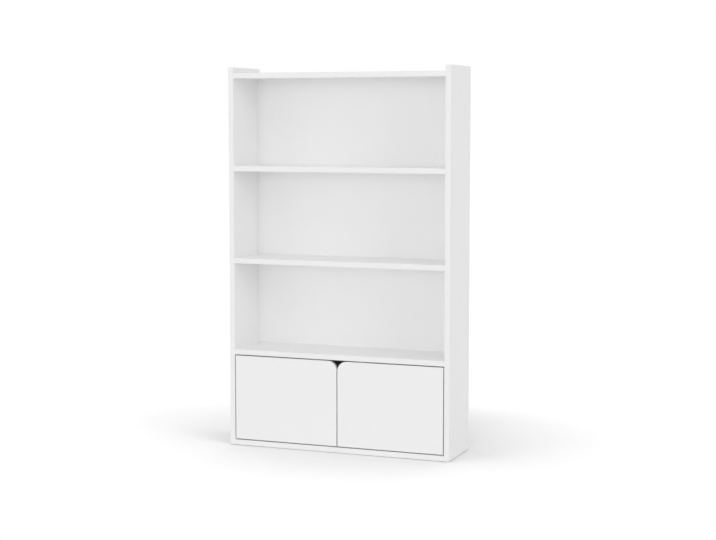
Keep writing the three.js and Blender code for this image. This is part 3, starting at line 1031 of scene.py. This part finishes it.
# The cam fittings
# Each is a die-cast zinc drum in a bore under a board's end, and a steel bolt in the side panel
# whose head the drum draws in when it is turned. Its rim and cross recess show from below.
CAM_RADIUS = 7.4 * MM
CAM_DEPTH = 18 * MM
CAM_FACE = 3 * MM
CAM_WAIST = 5.8 * MM
CAM_RIM = 3 * MM  # the thickness of the drum's upper end
CAM_COVER = 8.4 * MM  # the radius of the rim that hides the bore's mouth
CAM_PROUD = 0.5 * MM
CAM_CROSS = 3.8 * MM
CAM_SHELL = 0.8 * MM  # what is left under the cross
CAM_SETBACK = 34 * MM  # from the board's end to the drum's axis
BOLT_RADIUS = 3 * MM
BOLT_NECK = 2 * MM
BOLT_CORE = 2.2 * MM
BOLT_BITE = 11 * MM  # how deep it goes into the side panel
BOLT_HEAD = 2 * MM
BOLT_SHOULDER = 1 * MM
NECK_LENGTH = 8 * MM
BOLT_PITCH = 2.5 * MM
CAST_EDGE = 0.3 * MM

# Die-cast zinc is a dull bluish grey with a fine grain from the mould.
cast_zinc = satin_finish(
    "zinc_alloy_die_cast", "B4B5B6", patch=1 * MM, roughness=(0.38, 0.52), relief=0.04 * MM,
    metallic=1.0,
)

cam_face = crossed_head("cam_face", CAM_CROSS, CAM_FACE - CAM_SHELL, (
    (CAM_COVER - CAM_PROUD, CAM_FACE + CAM_PROUD), (CAM_COVER, CAM_FACE + CAM_PROUD / 2),
    (CAM_COVER, CAM_FACE), (CAM_RADIUS, CAM_FACE), (CAM_RADIUS, 0),
))
drum = turned("drum", (
    (0, CAM_FACE), (CAM_WAIST, CAM_FACE), (CAM_WAIST, CAM_DEPTH - CAM_RIM),
    (CAM_RADIUS, CAM_DEPTH - CAM_RIM), (CAM_RADIUS, CAM_DEPTH), (0, CAM_DEPTH),
), CAST_EDGE)
bolt_thread = thread("bolt_thread", BOLT_CORE, BOLT_RADIUS, BOLT_PITCH, BOLT_BITE)
bolt_end = CAM_SETBACK + BOLT_BITE
bolt_shank = turned("bolt_shank", (
    (0, -BOLT_HEAD), (BOLT_NECK, -BOLT_HEAD / 2), (BOLT_RADIUS, 0), (BOLT_NECK, BOLT_HEAD),
    (BOLT_NECK, NECK_LENGTH), (BOLT_RADIUS, NECK_LENGTH + BOLT_SHOULDER),
    (BOLT_RADIUS, CAM_SETBACK), (BOLT_CORE, CAM_SETBACK), (BOLT_CORE, bolt_end - BOLT_CORE),
    (0, bolt_end),
))
CAST, BOLTED = range(2)
for board_name in BOARDS:
    for corner in ("left_front", "left_rear", "right_front", "right_rear"):
        node = f"{board_name}_{corner}_fitting"
        low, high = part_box(node)
        board_low, board_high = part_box(board_name)
        outwards = math.copysign(1, low.x)
        axis = Vector((outwards * (board_high.x - CAM_SETBACK), (low.y + high.y) / 2, low.z))
        bm = bmesh.new()
        add_copy(bm, drum, Matrix.Translation(axis), CAST)
        face_seat = axis + Vector((0, 0, CAM_FACE))
        add_copy(bm, cam_face, aimed(face_seat, (0, 0, -1)), CAST)
        bolt_start = axis + Vector((0, 0, (board_high.z - board_low.z) / 2))
        bolt_place = aimed(bolt_start, (outwards, 0, 0))
        add_copy(bm, bolt_shank, bolt_place, BOLTED)
        add_copy(bm, bolt_thread, bolt_place @ Matrix.Translation((0, 0, CAM_SETBACK)), BOLTED)
        fitting = add_piece(f"{node}_cast", bm, cast_zinc, zinc_plate)
        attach(fitting, "case")
        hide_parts(node)


# The door stops
# Each is a small moulded block screwed up under the cupboard's top, just behind a closed door. A
# soft pad on its front takes the door's touch.
STOP_CORNER = 3 * MM
STOP_EDGE = 0.6 * MM
STOP_EDGE_STEPS = 3
STOP_SCREW = (3 * MM, 1.1 * MM)  # the radius and height of its head
PAD_MARGIN = 2 * MM
PAD_SHEET = 0.6 * MM

# Moulded ABS is white and satin with a fine spark grain. The pad is softer, greyer silicone.
moulded = satin_finish(
    "abs_stop_moulded", "E9E9E7", patch=0.8 * MM, roughness=(0.4, 0.5), relief=0.03 * MM,
)
silicone = satin_finish(
    "silicone_pad_cast", "D2D2CF", patch=2 * MM, roughness=(0.6, 0.7), relief=0.02 * MM,
)

stop_screw = pan_head("stop_screw", *STOP_SCREW)
MOULDED, PADDED, FIXED = range(3)
for side_name in PAIR:
    node = f"{side_name}_door_stop"
    low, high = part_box(node)
    low.y += PAD_SHEET
    middle = (low + high) / 2
    bm = bmesh.new()
    size = Matrix.Diagonal((*(high - low), 1))
    bmesh.ops.create_cube(bm, size=1, matrix=Matrix.Translation(middle) @ size)
    upright = [edge for edge in bm.edges if abs(edge.verts[0].co.z - edge.verts[1].co.z) > WELD]
    ease(bm, upright, STOP_CORNER, CORNER_STEPS)
    ease_sharp(bm, STOP_EDGE, STOP_EDGE_STEPS)
    front = min(bm.faces, key=lambda face: face.calc_center_median().y + face.normal.y)
    bmesh.ops.inset_individual(bm, faces=[front], thickness=PAD_MARGIN)
    raise_faces(bm, [front], (0, -PAD_SHEET, 0))
    for face in bm.faces:
        on_pad = face.calc_center_median().y < low.y - WELD
        face.material_index = PADDED if on_pad else MOULDED
    foot = Vector((middle.x, middle.y, low.z))
    add_copy(bm, stop_screw, aimed(foot, (0, 0, -1)), FIXED)
    stop = add_piece(f"{node}_moulded", bm, moulded, silicone, zinc_plate)
    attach(stop, "case")
    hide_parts(node)


# The glides
# Each is a grey polyethylene disc, moulded round a nail's head and knocked into a side panel's
# lower edge. It keeps the sawn edge 2 mm off the floor.
GLIDE_RADIUS = 10 * MM
GLIDE_HEIGHT = 2 * MM
GLIDE_FLAT = 8.6 * MM  # the radius of its flat faces
GLIDE_EDGE = 0.9 * MM  # how far the lower edge rises
GLIDE_BROW = 0.3 * MM  # how far the upper one falls
NAIL_RADIUS = 1.5 * MM
NAIL_FOOT = 1 * MM  # over the floor
NAIL_TOP = 14 * MM  # over the floor
NAIL_POINT = 2 * MM

# Polyethylene is waxy: a mid grey with a soft, even sheen.
polyethylene = satin_finish(
    "polyethylene_glide_moulded", "8D8E90", patch=1.5 * MM, roughness=(0.45, 0.58),
    relief=0.03 * MM,
)

disc = turned("disc", (
    (0, 0), (GLIDE_FLAT, 0), (GLIDE_RADIUS, GLIDE_EDGE),
    (GLIDE_RADIUS, GLIDE_HEIGHT - GLIDE_BROW), (GLIDE_FLAT, GLIDE_HEIGHT), (0, GLIDE_HEIGHT),
))
nail = turned("nail", (
    (0, NAIL_FOOT), (NAIL_RADIUS, NAIL_FOOT), (NAIL_RADIUS, NAIL_TOP - NAIL_POINT), (0, NAIL_TOP),
))
DISC, NAILED = range(2)
for side_name in PAIR:
    for row in ("front", "rear"):
        node = f"{side_name}_{row}_glide"
        low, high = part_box(node)
        foot = Vector(((low.x + high.x) / 2, (low.y + high.y) / 2, low.z))
        bm = bmesh.new()
        add_copy(bm, disc, Matrix.Translation(foot), DISC)
        add_copy(bm, nail, Matrix.Translation(foot), NAILED)
        glide = add_piece(f"{node}_moulded", bm, polyethylene, zinc_plate)
        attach(glide, "case")
        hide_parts(node)


low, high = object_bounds()
